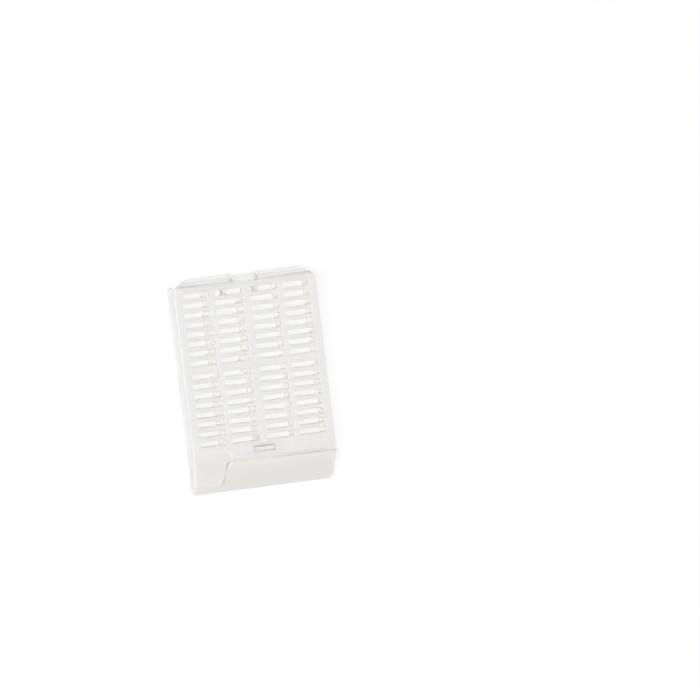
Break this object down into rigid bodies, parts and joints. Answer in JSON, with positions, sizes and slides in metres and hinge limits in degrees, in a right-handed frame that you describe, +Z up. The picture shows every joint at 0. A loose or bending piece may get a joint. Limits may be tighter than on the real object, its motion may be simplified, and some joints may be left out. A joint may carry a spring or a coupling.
{
  "type": "tissue cassette",
  "caption": "Slotted moulded box with a hinged snap lid and a sloping writing face, holds small tissue samples while fluids flow through.",
  "frame": {"origin": "on the table under the middle of the footprint", "axes": "+X across the width, +Y towards the hinge end, +Z up out of the lid"},
  "size_m": [0.0286, 0.042, 0.0067],
  "materials": {
    "base_acetal": "fine matte moulded acetal",
    "lid_acetal": "fine matte moulded acetal"
  },
  "bodies": {
    "base": {"base": "base_acetal"},
    "lid": {"lid": "lid_acetal"}
  },
  "joints": [
    {"name": "lid_hinge", "type": "hinge", "parent": "base", "child": "lid", "pos_m": [0, 0.01976, 0.00595], "axis": [-1, 0, 0], "range_deg": [0, 110]}
  ]
}
